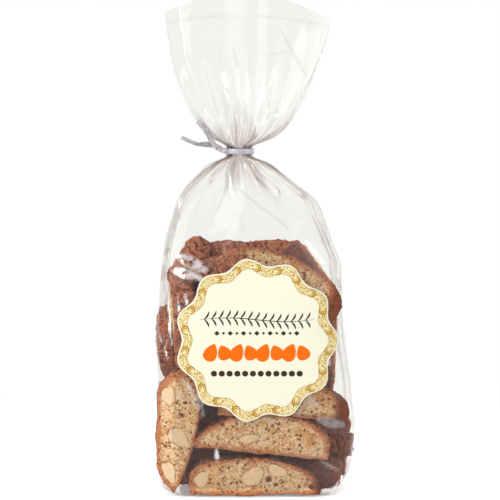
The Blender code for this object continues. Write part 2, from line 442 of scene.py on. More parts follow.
def film_material(values):
    """Clear film: it dims what is behind it a little, more at a fold, and shines, with painted highlights
    along the marked glints and painted shade along the marked creases.
    """
    material, n, shader = new_material("clear_film")
    around = n.add("ShaderNodeVectorMath", operation="MULTIPLY")
    n.link(n.add("ShaderNodeUVMap", uv_map="film_map").outputs[0], around.inputs[0])
    around.inputs[1].default_value = (150, 2.2, 1)
    streaks = n.noise(1.0, 4, 0.6, around.outputs[0])
    gather, glint = n.attribute("gather"), n.attribute("glint")
    fine = n.math("ADD", n.noise(90, 3, 0.5), n.math("MULTIPLY", n.math("MULTIPLY", streaks, gather), 1.5))
    normal = n.bump(fine, 0.0010, 0.35)
    edge = n.add("ShaderNodeLayerWeight")
    n.put(edge, Blend=0.35, Normal=normal)
    dimmed = n.between(edge.outputs["Facing"], 0.25, 1.0)
    layered = n.math("MULTIPLY", n.between(gather, 0.05, 0.55), n.between(streaks, 0.42, 0.60))
    through = n.add("ShaderNodeBsdfTransparent")
    clear = n.mix(layered, values.clear, values.layers)
    # painted shade: the marked creases let less through; the same mask also draws the faint line under the
    # top edge
    clear = n.mix(n.attribute("crease"), clear, values.crease)
    n.put(through, Color=n.mix(dimmed, clear, n.mix(gather, values.fold, values.layers)))
    n.put(shader, Base_Color=values.shine, Metallic=1.0, Roughness=0.09, Normal=normal)
    gloss = n.add("ShaderNodeFresnel")
    n.put(gloss, IOR=1.42, Normal=normal)
    # painted highlight: along the marked glints the film turns to its white mirror
    white = n.math("MULTIPLY", glint, n.mottle(260, 0.30, 0.55, 4))
    mixed = n.add("ShaderNodeMixShader")
    n.link(n.math("MAXIMUM", n.math("MINIMUM", gloss.outputs[0], 0.4), white), mixed.inputs[0])
    n.link(through.outputs[0], mixed.inputs[1])
    n.link(shader.outputs[0], mixed.inputs[2])
    n.link(mixed.outputs[0], material.node_tree.nodes["Material Output"].inputs["Surface"])
    return material


def paper_material(name, colour):
    """Printed, lightly varnished paper."""
    material, n, shader = new_material(name)
    fibre = n.mottle(2600, 0.2, 0.8)
    dull = (*[level * 0.8 for level in colour[:3]], 1)
    shade = n.mix(n.math("MULTIPLY", n.mottle(2600, 0.45, 0.7), 0.05), colour, dull)
    n.put(shader, Base_Color=shade, Roughness=0.38, Normal=n.bump(fibre, 0.00002, 0.4))
    shader.inputs["Specular IOR Level"].default_value = 0.12
    return material


def tie_material(values):
    """Satin silver-lilac plastic with a fine grain, and painted shade darkening the band along its edges."""
    material, n, shader = new_material("tie_satin")
    height = n.add("ShaderNodeSeparateXYZ")
    n.link(n.place(), height.inputs[0])
    off = n.math("ABSOLUTE", n.math("SUBTRACT", height.outputs["Z"], NECK * MM))
    beside = n.math("LESS_THAN", height.outputs["X"], BAND_LEFT)
    # painted shade: the band darkens towards its top and bottom edges; the mottle below is the plastic's
    # grain
    rim = n.math("MULTIPLY", n.between(off, 0.9 * MM, 1.5 * MM), n.math("SUBTRACT", 1.0, beside))
    dark = n.math("MAXIMUM", rim, n.math("MULTIPLY", n.mottle(420, 0.45, 0.62), 0.6))
    colour = n.mix(n.math("MULTIPLY", dark, 0.75), values.silver, srgb(116, 112, 122))
    n.put(shader, Base_Color=colour, Roughness=0.32, Normal=n.bump(n.mottle(900, 0.3, 0.7), 0.0002, 0.6))
    shader.inputs["Metallic"].default_value = 0.35
    return material


# ----------------------------------------------------------------------------------------------- biscuits

# Each biscuit is a slice of a flat-bottomed loaf. Its own X is its width, Y its thickness between the two
# cut faces and Z its height, dome up. centre and size are in millimetres, size is width, thickness and
# height, and turn is in degrees about X, then Y, then Z. almonds and holes lie on the front cut face. ends
# is how full the section is at its left and right, 2 being an ellipse, lean is how far its top is pushed
# to the right, flat is the share of the half height at which the base is cut flat and soft is how far the
# edges are rounded, in millimetres. burnt is where, to the right of the middle, a browner end starts and
# dark is how much darker than the others the whole biscuit is, 0 to 1.
Biscuit = namedtuple("Biscuit", "name centre size turn fine almonds holes ends lean flat soft burnt dark",
                     defaults=(False, (), (), (2.4, 2.2), 0.0, 0.2, 0.6, 99.0, 0.0))
Almond = namedtuple("Almond", "x z length width turn")

BISCUITS = (
    Biscuit("front_left", (-40.9, -19.8, 34.2), (65.0, 15, 23.0), (0, 91, 0), True,
            (Almond(-19.3, -5.6, 10.4, 8.0, 15), Almond(2.7, 0.2, 13.5, 8.2, 50),
             Almond(21.0, -4.6, 12, 6.6, 20)),
            ((-9.6, 1.4, 2.2), (-16, 3.5, 1.2)), (1.8, 1.5), -13.0, 0.72),
    Biscuit("front_base", (-0.7, -20.2, 11.0), (69.5, 15, 19.8), (0, 0, 0), True,
            (Almond(-28.0, -1.4, 9.5, 7.2, 60), Almond(-0.6, 0.2, 13.0, 9.4, 35),
             Almond(12.2, 3.0, 11, 6.0, -22)),
            ((7.4, -1.4, 2.4), (30.4, -5.6, 2.6), (15, -3, 1.2)), (2.9, 2.2), -3.0, 0.12, burnt=29.0),
    Biscuit("front_second", (3.6, -20.2, 34.0), (73.0, 15, 22.2), (0, 6.3, 0), True,
            (Almond(-7.0, -3.4, 10.5, 4.6, 16),),
            ((-22, 2.5, 1.5), (20, 1, 1.4), (3, 2, 1.2), (8, 6, 1.1)), (1.65, 2.5), 2.0, 0.06),
    Biscuit("front_third", (14.6, -19.8, 52.0), (70, 15, 19.4), (0, 2, 0), True,
            (Almond(-9.0, -1.0, 10, 6, 0),), ((24, 1, 1.4), (27, -3, 1.2)), (2.2, 2.1),
            burnt=24.0, dark=0.10),
    Biscuit("front_fourth", (2.0, -19.6, 72.0), (67, 15, 19), (0, -4, 0)),
    Biscuit("front_fifth", (0.0, -19.2, 92.0), (64, 15, 19), (0, 3, 0)),
    Biscuit("front_top", (14.8, -15.0, 115.6), (68, 14, 23), (-5, 28, -8), True,
            (Almond(-14, -5, 11, 7, 30),), ((20, 2, 1.4), (12, -3, 1.2), (30.5, -1.0, 2.2)),
            (2.2, 2.8), 3.0, burnt=23.0),
    Biscuit("front_crust", (-15.0, -14.6, 121.4), (48, 11, 17), (78, -9, 0), True, (), (), (2.0, 1.7),
            soft=2.5),
    Biscuit("left_upright", (-38.0, -16.4, 90.0), (54, 13.0, 20), (90, 86, 6), True, (), (), (1.9, 2.0),
            soft=2.5),
    Biscuit("left_knob", (-35.8, -8.0, 122.6), (31, 14.0, 21), (88, 123, 0), True, (), (), (2.4, 2.0),
            soft=6.0),
    Biscuit("left_leaning", (-29.5, -1.5, 103.0), (54, 14.5, 19), (90, 84, 0), True),
    Biscuit("left_behind", (-46.8, -10.0, 80.0), (40, 10.5, 17), (90, 88, -14), True, (), (), (1.7, 1.7),
            soft=3.0),
    Biscuit("left_low", (-43.0, -1.0, 30.0), (56, 15, 19), (90, 88, 4)),
    # painted shade: low_gap, right_red, middle_base and middle_gap sit back in the bag, and dark darkens them
    # for that; front_third's dark is its own tone
    Biscuit("low_gap", (-29.5, -5.5, 24.0), (34, 15, 18), (-90, 84, 0), dark=0.35),
    Biscuit("right_purple", (21.4, -1.2, 38.2), (59, 12.0, 20), (-84, 6, 0), True, soft=4.5),
    Biscuit("right_red", (24.2, -3.4, 27.0), (58, 12.5, 19), (84, 5, 0), True, soft=3.5, dark=0.55),
    Biscuit("middle_base", (6.6, -4.2, 11.0), (78, 18.5, 15), (-90, 1, 0), True, soft=6.0, dark=0.35),
    Biscuit("middle_gap", (-14.0, -3.4, 42.0), (44, 15, 17), (-90, 8, 0), dark=0.35),
    Biscuit("middle_third", (3.0, -2.0, 56.0), (66, 14, 19), (0, -3, 0)),
    Biscuit("middle_fourth", (-4.0, -1.5, 76.0), (58, 14, 18), (0, 4, 0)),
    Biscuit("middle_fifth", (3.0, -1.0, 95.5), (58, 14, 18), (0, -4, 0)),
    Biscuit("right_upright", (36.4, -3.0, 78.0), (52, 12.5, 18), (-90, 93, 0), soft=2.0),
    Biscuit("top_crust", (-0.5, 2.0, 125.4), (58, 15, 19), (68, 1, 0), True, (), (), (2.4, 2.6), soft=2.0),
    Biscuit("top_under", (26.6, 1.4, 115.6), (37, 19, 18), (-88, 50, 0), True, soft=3.5),
    Biscuit("back_base", (-6.0, 19.6, 11.4), (71, 15, 20), (0, 0, 180)),
    Biscuit("back_second", (4.0, 19.6, 32.4), (68, 15, 19), (0, 4, 180)),
    Biscuit("back_third", (-5.0, 19.4, 53.0), (70, 15, 19), (0, -5, 180)),
    Biscuit("back_fourth", (3.0, 19.0, 73.6), (67, 15, 19), (0, 3, 180)),
    Biscuit("back_fifth", (-3.0, 18.4, 94.0), (69, 15, 19), (0, -4, 180)),
    Biscuit("back_right", (43.0, 16.0, 27.0), (42, 13, 18), (90, 90, 180), soft=2.0),
)
FISSURE_GAP = 3.7 * MM      # from one crack of the crust to the next along the loaf
FINE_VOXEL = 0.44 * MM
COARSE_VOXEL = 0.85 * MM
TOASTED_EDGE = 4.0 * MM     # how far the browning reaches into a cut face
BURNT_REACH = 7.0           # from the start of a burnt end to where it is brownest, in millimetres
ALMOND_TAPER = 0.22         # how much narrower an almond is at its pointed end
OFF_GRID = 0.037            # keeps an almond's flat face off the remesh's grid, so that every run is alike


def loaf_reach(biscuit):
    """Height of the dome above the widest part of the section."""
    return biscuit.size[2] * MM / (1 + biscuit.flat)


def loaf_slice(biscuit):
    """The plain slice: a cylinder pressed into the loaf's section, cut flat below, with soft edges."""
    width, thickness, _ = (value * MM for value in biscuit.size)
    reach = loaf_reach(biscuit)
    bpy.ops.mesh.primitive_cylinder_add(vertices=72, radius=0.5, depth=1, rotation=(pi / 2, 0, 0))
    item = added("biscuit_" + biscuit.name)
    apply_place(item)
    points = coordinates(item)
    angles = np.arctan2(points[:, 2], points[:, 0])
    power = 2 / np.where(points[:, 0] < 0, biscuit.ends[0], biscuit.ends[1])
    points[:, 0] = width / 2 * np.sign(np.cos(angles)) * np.abs(np.cos(angles)) ** power
    points[:, 1] *= thickness
    points[:, 2] = reach * np.sign(np.sin(angles)) * np.abs(np.sin(angles)) ** power
    points[:, 0] += biscuit.lean * MM * np.clip(points[:, 2] / reach, 0, 1)
    set_coordinates(item, points)
    choose(item)
    bpy.ops.object.mode_set(mode="EDIT")
    bpy.ops.mesh.select_all(action="SELECT")
    bpy.ops.mesh.bisect(plane_co=(0, 0, -biscuit.flat * reach), plane_no=(0, 0, -1), use_fill=True,
                        clear_outer=True)
    bpy.ops.mesh.select_all(action="SELECT")
    bpy.ops.transform.translate(value=(0, 0, (biscuit.flat - 1) * reach / 2))
    bpy.ops.object.mode_set(mode="OBJECT")
    apply_modifier(item, "soft_edges", "BEVEL", width=0.8 * MM, segments=2, limit_method="ANGLE",
                   angle_limit=radians(60))
    return item


def depth_inside(biscuit, x, z):
    """How far a point of the cut face lies inside the section's edge, in metres."""
    reach = loaf_reach(biscuit)
    above = z + (1 - biscuit.flat) * reach / 2
    x = x - biscuit.lean * MM * np.clip(above / reach, 0, 1)
    full = np.where(x < 0, biscuit.ends[0], biscuit.ends[1])
    across = np.abs(x) / (biscuit.size[0] * MM / 2)
    level = (across ** full + np.abs(above / reach) ** full) ** (1 / full)
    return np.minimum((1 - level) * reach * 1.1, above + biscuit.flat * reach)


def scattered(rng, biscuit, count, low, high):
    """Random pores on a cut face: x, z and radius in metres, smaller ones far more often."""
    width, _, height = (value * MM for value in biscuit.size)
    x, z = rng.uniform(-0.5, 0.5, count) * width, rng.uniform(-0.5, 0.5, count) * height
    radius = low + (high - low) * rng.random(count) ** 4
    inside = depth_inside(biscuit, x, z) > 0.5 * MM
    return np.column_stack((x, z, radius))[inside]


def random_almonds(rng, biscuit):
    """Up to three almonds on a cut face, clear of each other."""
    width, _, height = biscuit.size
    found = []
    for _ in range(40):
        spot = Almond(rng.uniform(-0.38, 0.38) * width, rng.uniform(-0.22, 0.12) * height,
                      rng.uniform(9, 13), rng.uniform(5.5, 8), rng.uniform(-60, 60))
        if all(hypot(spot.x - other.x, spot.z - other.z) > 13 for other in found):
            found.append(spot)
        if len(found) == 3:
            break
    return tuple(found)


def almond_field(points, almonds):
    """For each point, how far out of the nearest almond it lies: below 1 is inside."""
    field = np.full(len(points), 9.0)
    for almond in almonds:
        turn = radians(almond.turn)
        dx = points[:, 0] / MM - almond.x
        dz = points[:, 2] / MM - almond.z
        along = (dx * cos(turn) + dz * sin(turn)) / (almond.length / 2)
        half = almond.width / 2 * (1 - ALMOND_TAPER * np.clip(along, -1, 1))
        across = (-dx * sin(turn) + dz * cos(turn)) / half
        field = np.minimum(field, np.hypot(along, across))
    return field


def pore_depths(points, on_face, spots):
    """How deep each point lies in a pore, 0 to 1."""
    pits = np.zeros(len(points))
    for k, (x, z, radius) in enumerate(spots):
        near = np.nonzero(on_face & (np.abs(points[:, 0] - x) < radius * 2)
                          & (np.abs(points[:, 2] - z) < radius * 2))[0]
        dx, dz = points[near, 0] - x, points[near, 2] - z
        turn = k * 2.4
        along, across = dx * cos(turn) + dz * sin(turn), dz * cos(turn) - dx * sin(turn)
        distance = np.hypot(along, across * (1.0 + 0.7 * (k % 3) / 2)) / radius
        depth = (1 - step(0.2, 1.25, distance)) * min(1.0, 0.2 + radius / (1.5 * MM))
        pits[near] = np.maximum(pits[near], depth)
    return pits


def bake(item, biscuit, faces, rng, values):
    """Give the slice its lumps, crags, pores and almond hollows, and the masks its material reads."""
    width, thickness, height = (value * MM for value in biscuit.size)
    points = coordinates(item)
    beyond = np.clip((np.abs(points[:, 1]) - thickness / 2) / (biscuit.soft * MM) + 1, 0, 1)
    inset = biscuit.soft * MM * (1 - np.sqrt(1 - beyond ** 2))
    points[:, 0] *= 1 - inset / (width / 2)
    points[:, 2] *= 1 - inset / (height / 2)
    set_coordinates(item, points)
    directions = normals(item)
    inside = depth_inside(biscuit, points[:, 0], points[:, 2])
    cut = step(0.6, 0.85, np.abs(directions[:, 1])) * (np.abs(points[:, 1]) > thickness * 0.40)
    if biscuit.soft > 1:
        cut *= step(biscuit.soft + 0.5, biscuit.soft + 2.5, inside / MM)
    floor = step(0.6, 0.9, -directions[:, 2])
    pits = np.zeros(len(points))
    hollow = np.zeros(len(points))
    for side, almonds in zip((-1, 1), faces):
        on_face = (points[:, 1] * side > thickness * 0.30)
        spots = scattered(rng, biscuit, int(width * height / MM ** 2 * values.pores), 0.35 * MM, 1.15 * MM)
        if side < 0 and biscuit.holes:
            spots = np.vstack([spots, np.array(biscuit.holes) * MM])
        pits = np.maximum(pits, pore_depths(points, on_face, spots))
        out = almond_field(points, almonds)
        patchy = 0.5 + 0.5 * np.sin(points[:, 0] * 900 + np.sin(points[:, 2] * 800) * 2)
        groove = on_face * (step(0.92, 1.0, out) - step(1.02, 1.14, out)) * 0.55 * patchy
        pits = np.where(on_face & (out < 1.10), groove, pits)
        hollow = np.maximum(hollow, on_face * (1 - step(0.92, 1.04, out)))
    bend = 0.9 * np.sin(points[:, 1] * 420 + rng.uniform(0, 6)) + 0.8 * np.sin(points[:, 0] * 260)
    bend += 0.5 * np.sin(points[:, 1] * 1100 + points[:, 0] * 700)
    cracks = (1 - np.abs(np.sin(points[:, 0] / FISSURE_GAP * pi + bend))) ** 2
    fade = 0.65 + 0.35 * np.sin(points[:, 0] * 190 + points[:, 1] * 330 + rng.uniform(0, 6))
    pits = pits * cut + cracks * fade * (1 - cut) * (1 - floor)
    burnt = step(biscuit.burnt, biscuit.burnt + BURNT_REACH, points[:, 0] / MM)
    toast = 1 - step(0.1 * TOASTED_EDGE, TOASTED_EDGE, inside) + 0.9 * burnt
    store(item, "cut", cut)
    store(item, "pit", pits)
    store(item, "toast", toast)
    store(item, "base", floor)
    # a random tone, the burnt end, and dark, which is painted shade for biscuits set back in the bag
    store(item, "tone_and_shade", 0.08 * rng.random() + biscuit.dark + 0.7 * burnt)
    groups = {name: weigh(item, name, weights) for name, weights in
              {"crust": (1 - cut) * (1 - 0.8 * floor), "grain": 1 - hollow, "pits": pits,
               "hollow": hollow}.items()}
    lumps = noise_texture("lumps", "CLOUDS", 0.016, noise_depth=1)
    crags = noise_texture("crags", "CLOUDS", 0.0042, noise_depth=3, noise_type="HARD_NOISE")
    knobs = noise_texture("knobs", "VORONOI", 0.0060, noise_intensity=1.0, distance_metric="DISTANCE",
                          weight_1=-1.0, weight_2=1.0)
    grain = noise_texture("grain", "CLOUDS", 0.0015, noise_depth=2)
    item.location = [value * MM for value in biscuit.centre]
    item.rotation_euler = Euler([radians(value) for value in biscuit.turn], "XYZ")
    bpy.context.view_layer.update()
    reliefs = (("lumps", lumps, values.lump_height, 0.5, ""),
               ("crags", crags, -values.crag_height, 0.35, groups["crust"]),
               ("knobs", knobs, values.crag_height * 0.8, 0.35, groups["crust"]),
               ("grain", grain, values.grain_height, 0.5, groups["grain"]),
               ("pits", None, -values.pore_depth, 0.0, groups["pits"]),
               ("hollow", None, -1.2 * MM, 0.0, groups["hollow"]))
    for name, texture, strength, middle, group in reliefs:
        apply_modifier(item, name, "DISPLACE", texture=texture, strength=strength, mid_level=middle,
                       texture_coords="GLOBAL", vertex_group=group)
        if name == "lumps":
            before = coordinates(item)
    relief = np.einsum("ij,ij->i", coordinates(item) - before, directions)
    store(item, "relief", (relief - np.average(relief, weights=1.001 - cut)) / MM)
    item.vertex_groups.clear()


def cut_almond(biscuit, almond, side):
    """Half an almond with its cut face flush with the biscuit's."""
    bpy.ops.mesh.primitive_uv_sphere_add(segments=28, ring_count=16, radius=1)
    item = added("almond")
    bpy.ops.object.mode_set(mode="EDIT")
    bpy.ops.mesh.select_all(action="SELECT")
    bpy.ops.mesh.bisect(plane_co=(0, 0, 0), plane_no=(0, -1, 0), use_fill=True, clear_outer=True)
    bpy.ops.object.mode_set(mode="OBJECT")
    apply_modifier(item, "rim", "BEVEL", width=0.05, segments=2, limit_method="ANGLE",
                   angle_limit=radians(60))
    set_coordinates(item, coordinates(item) + OFF_GRID)
    apply_modifier(item, "even", "REMESH", mode="VOXEL", voxel_size=0.13 if biscuit.fine else 0.26)
    points = coordinates(item) - OFF_GRID
    store(item, "skin", step(0.80, 1.0, np.hypot(points[:, 0], points[:, 2]) + 0.8 * np.abs(points[:, 1])))
    points[:, 2] *= 1 - ALMOND_TAPER * points[:, 0]
    around = np.arctan2(points[:, 2], points[:, 0])
    uneven = 1 + 0.05 * np.sin(3 * around + almond.x) + 0.035 * np.sin(5 * around + almond.turn)
    points[:, [0, 2]] *= uneven[:, None]
    points *= np.array((almond.length / 2, min(almond.width, 7) * 0.40, almond.width / 2)) * MM
    set_coordinates(item, points)
    turn = Matrix.Rotation(-radians(almond.turn), 4, "Y")
    face = Matrix.Translation((almond.x * MM, -biscuit.size[1] / 2 * MM - 0.00005, almond.z * MM))
    flip = Matrix.Rotation(pi, 4, "Z") if side > 0 else Matrix.Identity(4)
    place = Matrix.LocRotScale(Vector(biscuit.centre) * MM,
                               Euler([radians(value) for value in biscuit.turn], "XYZ"), None)
    item.data.transform(place @ flip @ face @ turn)
    item.data.update()
    return item


class BISCUITBAG_OT_biscuits(bpy.types.Operator):
    """Model the biscuits and their cut almonds"""
    bl_idname = "biscuitbag.biscuits"
    bl_label = "Biscuits and almonds"

    def execute(self, context):
        values = context.scene.biscuit_values
        bake_look, almond_look = biscuit_material(values), almond_material(values)
        rng = np.random.default_rng(SEED)
        nuts = []
        for biscuit in BISCUITS:
            deselect()
            item = loaf_slice(biscuit)
            apply_modifier(item, "crumb_size", "REMESH", mode="VOXEL", use_smooth_shade=True,
                           voxel_size=FINE_VOXEL if biscuit.fine else COARSE_VOXEL)
            front = biscuit.almonds or random_almonds(rng, biscuit)
            back = random_almonds(rng, biscuit)
            if biscuit.soft > 1:
                front, back = (), ()
            mirrored = tuple(almond._replace(x=-almond.x, turn=-almond.turn) for almond in back)
            bake(item, biscuit, (front, mirrored), rng, values)
            apply_place(item)
            item.data.materials.append(bake_look)
            ride(item, "biscuit")
            nuts += [cut_almond(biscuit, almond, -1) for almond in front]
            nuts += [cut_almond(biscuit, almond, 1) for almond in back]
        almonds = joined(nuts, "cut_almonds")
        almonds.data.shade_smooth()
        almonds.data.materials.append(almond_look)
        ride(almonds, "almond")
        return {"FINISHED"}


# --------------------------------------------------------------------------------------------------- film

# The film's outline, as the bag's solid has it, in millimetres. Left and right are the side edges, depth
# is the half depth, square is how boxy the ring is, rise is how much higher its middle is and gusset is
# how far the side panels fold in.
Section = namedtuple("Section", "height left right depth square rise gusset")
SECTIONS = (
    Section(0.0, -44.0, 43.0, 24.5, 6.0, 0, 0),
    Section(3.5, -50.0, 45.2, 27.6, 6.0, 0, 0),
    Section(9.0, -52.5, 48.5, 29.2, 6.0, 0, 0),
    Section(18.0, -52.9, 51.7, 29.8, 6.0, 0, 0),
    Section(35.0, -53.0, 53.0, 30.0, 6.0, 0, 0.5),
    Section(60.0, -53.0, 51.0, 30.0, 5.6, 0, 1),
    Section(82.0, -53.9, 48.0, 29.8, 5.2, 0, 1.5),
    Section(104.0, -52.2, 46.3, 28.8, 4.8, 0, 2),
    Section(121.0, -50.5, 45.2, 27.2, 4.6, 0, 3),
    Section(134.0, -49.0, 40.5, 25.0, 4.4, 0, 3.5),
    Section(146.0, -45.8, 35.6, 21.8, 4.0, 0, 3.5),
    Section(158.0, -41.8, 30.0, 18.0, 3.4, 0, 3),
    Section(170.0, -29.8, 14.0, 12.5, 2.6, 0, 2),
    Section(176.5, -21.6, 4.6, 8.4, 2.1, 0, 1),
    Section(180.5, -15.9, -1.9, 5.8, 2.0, 0, 0),
    Section(184.5, -15.9, -1.9, 5.8, 2.0, 0, 0),
    Section(187.6, -19.4, 4.0, 6.8, 2.1, 0, 1),
    Section(194.0, -26.4, 14.4, 7.8, 2.4, 1, 2),
    Section(206.0, -36.6, 23.8, 7.6, 2.5, 4, 3),
    Section(222.0, -44.2, 31.6, 6.6, 2.5, 7, 3),
    Section(239.0, -48.0, 37.2, 5.6, 2.4, 10, 2),
    Section(254.0, -49.9, 41.2, 4.6, 2.3, 12.6, 0),
)
GUSSET_SHARE = 0.62         # share of the depth that a side panel's fold takes
BASE_ROWS = 14              # rings of the flat base, from its middle out
Fold = namedtuple("Fold", "count depth start full fade phase")
FOLDS = (                   # waves round the neck: how many, how deep, and where each grows and fades
    Fold(29, 2.3, 0.0, 0.0, 16.0, 0.3),
    Fold(17, 1.7, 2.0, 9.0, 34.0, 1.1),
    Fold(9, 2.0, 5.0, 18.0, 56.0, 2.0),
    Fold(5, 1.6, 10.0, 34.0, 90.0, 0.6),
)
GATHER_REACH = 13.0         # how far from the tie the film lies in many layers
FAN_WAVES = ((2.2, 2.6, 0.4), (4.1, 1.3, 1.9), (7.3, 0.5, 0.8))   # waves across the fan, height, phase
FAN_TILT = 2.2              # how much lower the fan's right corner is, each side of its middle
HEM = (254.4, 4.8, 1.0, 0.6)    # the faint line under the top edge: height, rise, tilt and width
LABEL_CLEAR = (40 * MM, 50 * MM)    # the film's creases grow between these distances from the label's middle,
BASE_CLEAR = (2 * MM, 10 * MM)      # from the base
NECK_CLEAR = (3 * MM, 20 * MM)      # and from the tie
Mark = namedtuple("Mark", "x z to_x to_z width strength")
GLINTS = (                   # painted highlights: where the front wall is drawn shining white along its creases, in millimetres
    Mark(-41.0, 128.0, -26.6, 120.6, 5.2, 0.80), Mark(-42.6, 120.0, -29.6, 116.2, 4.2, 0.80),
    Mark(-41.7, 107.5, -40.7, 99.5, 0.5, 0.60), Mark(-37.8, 108.0, -35.5, 100.5, 0.5, 0.55),
    Mark(-47.2, 101.5, -44.4, 81.0, 0.5, 0.75), Mark(-52.2, 87.0, -46.8, 74.0, 0.5, 0.60),
    Mark(-38.6, 63.5, -32.6, 54.0, 1.4, 0.45), Mark(-52.2, 29.6, -50.6, 28.6, 1.4, 0.70),
    Mark(-20.9, 25.2, -20.4, 19.4, 1.8, 0.70), Mark(26.6, 135.8, 36.6, 123.0, 0.8, 0.55),
    Mark(22.0, 57.0, 31.0, 50.0, 7.0, 0.18), Mark(33.0, 41.5, 46.0, 38.5, 5.0, 0.25),
    Mark(-49.0, 6.0, -40.0, 1.6, 1.4, 0.75),
    Mark(-44.0, 9.0, -40.5, 3.0, 0.9, 0.60), Mark(36.0, 3.0, 46.0, 5.0, 1.6, 0.55),
    Mark(40.0, 1.2, 44.0, 8.0, 1.0, 0.50), Mark(38.0, 88.0, 38.6, 70.0, 1.4, 0.25),
    Mark(33.0, 20.0, 44.0, 14.0, 1.2, 0.20), Mark(-20.0, 238.0, -14.5, 205.0, 0.8, 0.60),
    Mark(-9.5, 226.0, -8.6, 200.0, 0.6, 0.60), Mark(-3.0, 244.0, -4.2, 206.0, 0.9, 0.50),
    Mark(4.6, 222.0, 0.6, 198.0, 0.6, 0.55), Mark(-15.0, 176.0, -13.0, 160.0, 0.6, 0.60),
    Mark(-6.0, 176.0, -7.0, 164.0, 0.6, 0.60), Mark(-33.0, 58.0, -28.5, 44.0, 5.0, 0.22),
)
CREASES = (                  # painted shade: where creases of the front wall are drawn grey
    Mark(-13.1, 170.2, -21.0, 150.9, 0.9, 0.55), Mark(-8.7, 162.3, 16.8, 142.6, 0.8, 0.55),
    Mark(12.8, 247.6, 28.2, 219.5, 0.7, 0.45), Mark(1.9, 233.5, 16.8, 235.3, 0.7, 0.30),
    Mark(-11.8, 237.0, -9.5, 226.5, 1.2, 0.40), Mark(2.7, 195.7, 8.9, 202.8, 0.8, 0.40),
    Mark(-27.0, 225.6, -20.0, 202.0, 0.8, 0.30), Mark(38.2, 136.0, 46.0, 118.0, 0.9, 0.35),
    Mark(41.8, 91.4, 48.9, 63.0, 0.8, 0.35), Mark(-44.0, 152.0, -39.0, 146.0, 1.4, 0.35),
    Mark(-18.0, 215.0, -15.0, 195.0, 0.7, 0.40), Mark(-50.5, 120.0, -47.0, 102.0, 0.8, 0.30),
    Mark(47.0, 40.0, 48.5, 12.0, 0.8, 0.35), Mark(-9.0, 150.0, -6.0, 140.0, 1.6, 0.25),
    Mark(-15.2, 174.0, -14.2, 165.0, 3.0, 0.60),
)


def marked(points, marks):
    """How strongly each point of the front wall is marked, 0 to 1."""
    field = np.zeros(len(points))
    x, z = points[:, 0] / MM, points[:, 2] / MM
    for mark in marks:
        run = np.array((mark.to_x - mark.x, mark.to_z - mark.z))
        share = np.clip(((x - mark.x) * run[0] + (z - mark.z) * run[1]) / (run @ run), 0, 1)
        off = np.hypot(x - mark.x - share * run[0], z - mark.z - share * run[1])
        width = mark.width / 2 * (0.4 + 0.6 * np.sin(pi * np.clip(share, 0.05, 0.95)))
        field = np.maximum(field, mark.strength * (1 - step(width * 0.6, width * 1.4 + 0.5, off)))
    return field * (points[:, 1] < 0)


def hem_line(points):
    """The faint line that follows the film's top edge, 0 to 1."""
    top = SECTIONS[-1]
    height, rise, tilt, width = HEM
    across = (points[:, 0] / MM - (top.left + top.right) / 2) / ((top.right - top.left) / 2)
    off = points[:, 2] / MM - height + rise * across ** 2 + tilt * across
    return 0.35 * np.exp(-(off / width) ** 2) * (points[:, 1] < 0)


def monotone_slopes(x, y):
    """Slopes for a cubic through the points that never overshoots them."""
    steps = np.diff(x)
    rises = np.diff(y) / steps
    slopes = np.zeros(len(x))
    slopes[0], slopes[-1] = rises[0], rises[-1]
    for i in range(1, len(x) - 1):
        if rises[i - 1] * rises[i] > 0:
            first, second = 2 * steps[i] + steps[i - 1], steps[i] + 2 * steps[i - 1]
            slopes[i] = (first + second) / (first / rises[i - 1] + second / rises[i])
    return slopes


HEIGHTS = np.array([section.height for section in SECTIONS])
TABLE = np.array(SECTIONS)
SLOPES = np.array([monotone_slopes(HEIGHTS, column) for column in TABLE.T]).T


def section_at(height):
    """The film's section at any height, on a smooth curve through the given ones."""
    i = int(np.clip(np.searchsorted(HEIGHTS, height, side="right") - 1, 0, len(HEIGHTS) - 2))
    span = HEIGHTS[i + 1] - HEIGHTS[i]
    t = (height - HEIGHTS[i]) / span
    row = ((1 + 2 * t) * (1 - t) ** 2 * TABLE[i] + t * (1 - t) ** 2 * span * SLOPES[i]
           + t * t * (3 - 2 * t) * TABLE[i + 1] + t * t * (t - 1) * span * SLOPES[i + 1])
    return Section(*row)


def even_ring(section, count):
    """Across and depth of evenly spaced points round one ring, from the middle of its front."""
    angles = np.linspace(-pi / 2, 1.5 * pi, 1441)
    power = 2 / section.square
    half = (section.right - section.left) / 2
    across = np.sign(np.cos(angles)) * np.abs(np.cos(angles)) ** power
    deep = np.sign(np.sin(angles)) * np.abs(np.sin(angles)) ** power
    side = step(0.72, 0.98, np.abs(across))
    inward = section.gusset * np.clip(1 - np.abs(deep) / GUSSET_SHARE, 0, 1) * side
    x = across * half - np.sign(across) * inward
    x *= half / np.abs(x).max()
    y = deep * section.depth
    lengths = np.concatenate(([0], np.cumsum(np.hypot(np.diff(x), np.diff(y)))))
    wanted = np.linspace(0, lengths[-1], count, endpoint=False)
    return np.interp(wanted, lengths, x), np.interp(wanted, lengths, y)


